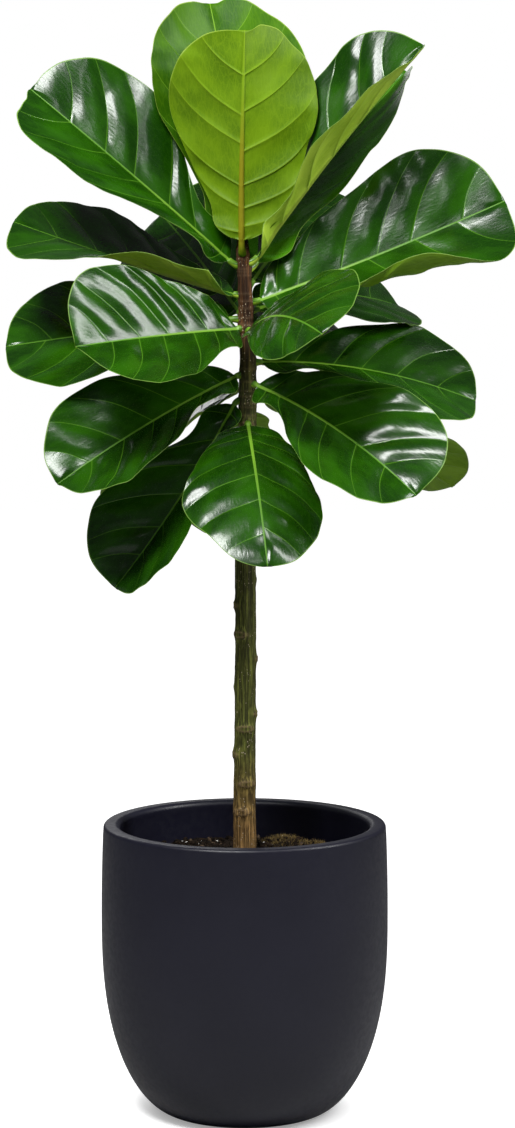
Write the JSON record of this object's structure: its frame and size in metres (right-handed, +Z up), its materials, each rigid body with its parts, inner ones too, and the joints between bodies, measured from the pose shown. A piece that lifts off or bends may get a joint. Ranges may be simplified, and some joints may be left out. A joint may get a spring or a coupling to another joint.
{
  "type": "potted fiddle leaf fig",
  "caption": "Indoor tree with broad leathery fiddle-shaped leaves on one slim bare trunk, standing in a round matte planter filled with potting soil.",
  "frame": {"origin": "centre of the planter's flat base", "axes": "+Z up along the trunk; +X to the right and -Y towards the viewer of the front"},
  "size_m": [0.5599, 0.4383, 1.2314],
  "materials": {
    "planter": "matte charcoal glaze",
    "potting_soil": "dark crumbly potting mix of peat and bark with white perlite grains",
    "bark": "thin rough brown bark with pale leaf scars, redder towards the top",
    "young_leaf": "bright yellow-green, waxy, pale raised veins",
    "leaf": "glossy deep green upper face, paler matte underside, pale veins and margin"
  },
  "bodies": {
    "root": {"planter": "planter", "potting_soil": "potting_soil", "trunk": "bark", "crown_leaf_front": "young_leaf", "crown_leaf_back": "young_leaf", "leaf_upper_left": "leaf", "leaf_mid_left": "leaf", "leaf_front_left": "leaf", "leaf_far_left": "leaf", "leaf_low_left": "leaf", "leaf_bottom_left": "leaf", "leaf_bottom_front": "leaf", "leaf_low_right": "leaf", "leaf_right": "leaf", "leaf_front_right": "leaf", "leaf_upper_mid_right": "leaf", "leaf_upper_right": "leaf", "leaf_right_back": "leaf", "leaf_back_right": "leaf", "leaf_back_right_inner": "leaf", "leaf_back_low_right": "leaf", "leaf_back": "leaf", "leaf_back_left": "leaf", "leaf_back_low_left": "leaf", "leaf_back_low": "leaf"}
  },
  "joints": []
}
